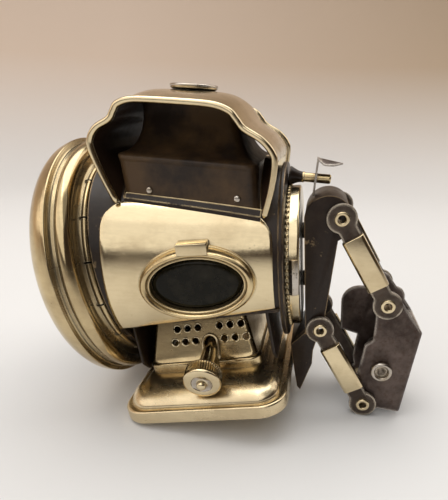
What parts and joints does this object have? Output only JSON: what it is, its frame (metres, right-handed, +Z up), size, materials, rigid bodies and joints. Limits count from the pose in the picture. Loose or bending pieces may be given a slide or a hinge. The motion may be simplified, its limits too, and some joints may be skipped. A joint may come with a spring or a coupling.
{
  "type": "motorcycle oil headlamp",
  "caption": "Brass and black oil headlamp for an early motorcycle, with a domed front rim, ventilated hood, drop-out wick fount and a parallel-link rear bracket with a clamp socket.",
  "frame": {"origin": "on the table under the middle of the lamp's length and width, as the lamp stands on its fount's toe and its bracket's lower eyes", "axes": "+X to the rear, towards the bracket, -X the way the lamp shines, +Y the lamp's far side, away from the winder's knob, +Z up"},
  "size_m": [0.173, 0.116, 0.1437],
  "materials": {
    "brass": "polished and worn",
    "black_japan": "gloss black japan worn at its edges",
    "nickel": "dull nickel plate",
    "steel": "dark bare steel, bright at its edges",
    "glass": "clear",
    "mirror": "polished",
    "wick": "woven cotton"
  },
  "bodies": {
    "lamp_case": {"barrel": "black_japan", "near_side_panel": "brass", "far_side_panel": "brass", "near_side_bezel": "brass", "far_side_bezel": "brass", "near_side_glass": "glass", "far_side_glass": "glass", "window_clips": "brass", "reflector": "mirror", "chimney_saddle": "black_japan", "inner_chimney": "black_japan", "chimney_rivets": "nickel", "hood": "brass", "hood_wired_edges": "brass", "hood_top_disc": "nickel", "hood_tail_rod": "brass", "rear_plate": "black_japan", "beaded_ring": "brass", "rear_cap": "brass", "rear_clip": "nickel", "spacer_studs": "black_japan", "lower_housing": "black_japan", "bracket_arm": "black_japan", "arm_rivets": "brass"},
    "front_cover": {"front_rim": "brass", "front_lens": "glass", "lens_retaining_ring": "brass"},
    "fount": {"fount_tank": "brass", "fount_base_plate": "brass", "burner_gallery": "brass", "wick_tube": "brass"},
    "winder": {"winder_shaft": "brass", "winder_knob": "brass", "wick_wheel": "brass"},
    "wick_strip": {"wick": "wick"},
    "catch": {"fount_catch": "nickel"},
    "latch": {"thumb_latch": "steel"},
    "upper_links": {"near_upper_link": "steel", "far_upper_link": "steel", "near_upper_sleeve": "brass", "far_upper_sleeve": "brass"},
    "lower_links": {"near_lower_link": "steel", "far_lower_link": "steel", "near_lower_sleeve": "brass", "far_lower_sleeve": "brass"},
    "socket": {"socket_bracket": "steel", "socket_rivets": "brass", "clamp_nut": "steel"},
    "bolt": {"clamp_bolt": "steel"}
  },
  "joints": [
    {"name": "front_cover_turn", "type": "hinge", "parent": "lamp_case", "child": "front_cover", "pos_m": [-0.06379, 0, 0.06301], "axis": [0.9726, 0, 0.2323], "range_deg": [-20, 20]},
    {"name": "fount_drop", "type": "slide", "parent": "lamp_case", "child": "fount", "axis": [0.2323, 0, -0.9726], "range_m": [0, 0.055]},
    {"name": "winder_turn", "type": "hinge", "parent": "fount", "child": "winder", "pos_m": [-0.005, -0.0506, 0.02739], "axis": [-0.064, 0.9613, 0.2681], "range_deg": [-60, 130]},
    {"name": "wick_rise", "type": "slide", "parent": "fount", "child": "wick_strip", "axis": [-0.2323, 0, 0.9726], "range_m": [-0.0027, 0.0058]},
    {"name": "catch_flex", "type": "hinge", "parent": "lamp_case", "child": "catch", "pos_m": [-0.03849, 0, 0.01929], "axis": [0, 1, 0], "range_deg": [0, 12], "stiffness_Nm_per_rad": 0.06},
    {"name": "latch_flex", "type": "hinge", "parent": "lamp_case", "child": "latch", "pos_m": [0.03231, 0, 0.10065], "axis": [0, 1, 0], "range_deg": [0, 14], "stiffness_Nm_per_rad": 0.08},
    {"name": "upper_link_swing", "type": "hinge", "parent": "lamp_case", "child": "upper_links", "pos_m": [0.045, 0, 0.09407], "axis": [0, -1, 0], "range_deg": [-4, 45]},
    {"name": "lower_link_swing", "type": "hinge", "parent": "lamp_case", "child": "lower_links", "pos_m": [0.04197, 0, 0.04256], "axis": [0, -1, 0], "range_deg": [-4, 45]},
    {"name": "socket_level", "type": "hinge", "parent": "upper_links", "child": "socket", "pos_m": [0.06922, 0, 0.05781], "axis": [0, -1, 0], "range_deg": [-45, 4]},
    {"name": "clamp_bolt_turn", "type": "hinge", "parent": "socket", "child": "bolt", "pos_m": [0.07188, 0, 0.0248], "axis": [0, -1, 0], "continuous": true}
  ],
  "couplings": [
    {"joint": "lower_link_swing", "follows": "upper_link_swing", "ratio": 1},
    {"joint": "socket_level", "follows": "upper_link_swing", "ratio": -1},
    {"joint": "winder_turn", "follows": "wick_rise", "rad_per_m": 384.62}
  ]
}
